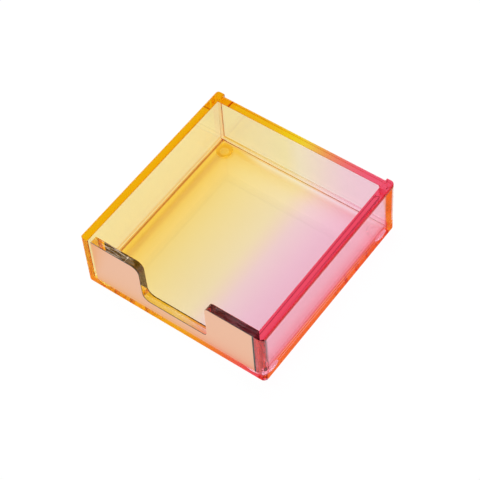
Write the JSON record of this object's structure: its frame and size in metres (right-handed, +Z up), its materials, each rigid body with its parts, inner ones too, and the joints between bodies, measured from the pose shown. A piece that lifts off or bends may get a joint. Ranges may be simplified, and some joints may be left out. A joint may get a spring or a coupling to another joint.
{
  "type": "memo tray",
  "caption": "Open square desk tray of yellow-to-pink tinted acrylic for a block of notes, with a rose-gold mirrored front panel notched for a finger, on small clear feet.",
  "frame": {"origin": "on the surface that the feet stand on, under the middle of the tray", "axes": "+Z up, -Y towards the notched front panel, +X to the right as seen from the front"},
  "size_m": [0.095, 0.0974, 0.032],
  "materials": {
    "ombre_acrylic": "polished clear acrylic sheet, dyed yellow at the left and pink at the right",
    "yellow_acrylic": "polished clear acrylic sheet, dyed golden yellow",
    "pink_acrylic": "polished clear acrylic sheet, dyed pink",
    "rose_gold_mirror": "satin rose-gold mirror film",
    "clear_bumper": "clear soft bumper"
  },
  "bodies": {
    "root": {"base_plate": "ombre_acrylic", "left_wall": "yellow_acrylic", "right_wall": "pink_acrylic", "back_wall": "ombre_acrylic", "front_panel": "ombre_acrylic", "mirror_film": "rose_gold_mirror", "foot_front_left": "clear_bumper", "foot_front_right": "clear_bumper", "foot_back_left": "clear_bumper", "foot_back_right": "clear_bumper"}
  },
  "joints": []
}
